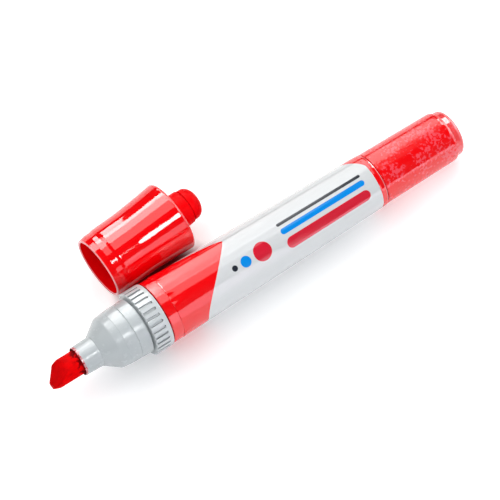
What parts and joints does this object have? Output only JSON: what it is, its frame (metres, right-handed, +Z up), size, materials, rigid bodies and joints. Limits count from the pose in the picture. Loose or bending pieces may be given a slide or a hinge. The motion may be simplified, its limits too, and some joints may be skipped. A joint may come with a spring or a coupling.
{
  "type": "permanent marker",
  "caption": "Uncapped chisel-tip permanent marker with a tapering red barrel, silver printed sleeve, grey knurled nose and a flared red cap lying beside it.",
  "frame": {"origin": "centre of the bounding box of the marker and its cap, on the table they lie on", "axes": "+X from the nib to the tail, +Y from the barrel to the cap beside it, +Z up"},
  "size_m": [0.1293, 0.0398, 0.0199],
  "materials": {
    "barrel_plastic": "smooth glossy red moulding",
    "printed_film": "satin silver film printed red at its front",
    "tail_plastic": "fine mottled red moulding",
    "inked_fibre": "red ink-soaked polyester fibre",
    "wrap_film": "thin clear film",
    "nose_plastic": "satin light grey moulding",
    "inked_felt": "pressed felt soaked in red ink",
    "cap_plastic": "polished red moulding",
    "liner_plastic": "smooth red moulding"
  },
  "bodies": {
    "barrel": {"barrel": "barrel_plastic", "label_film": "printed_film", "tail_plug": "tail_plastic", "ink_reservoir": "inked_fibre", "reservoir_wrap": "wrap_film"},
    "nose": {"nose_section": "nose_plastic"},
    "nib": {"nib": "inked_felt"},
    "cap": {"cap_shell": "cap_plastic", "inner_cap": "liner_plastic"}
  },
  "joints": [
    {"name": "nose_unscrew", "type": "hinge", "parent": "barrel", "child": "nose", "pos_m": [-0.03689, -0.01095, 0.00909], "axis": [-0.9998, 0, 0.0189], "range_deg": [0, 540]},
    {"name": "nib_pull", "type": "slide", "parent": "nose", "child": "nib", "axis": [-0.9998, 0, 0.0189], "range_m": [0, 0.024]},
    {"name": "cap_pull", "type": "slide", "parent": "barrel", "child": "cap", "axis": [-1, 0, 0], "range_m": [0, 0.032]}
  ]
}
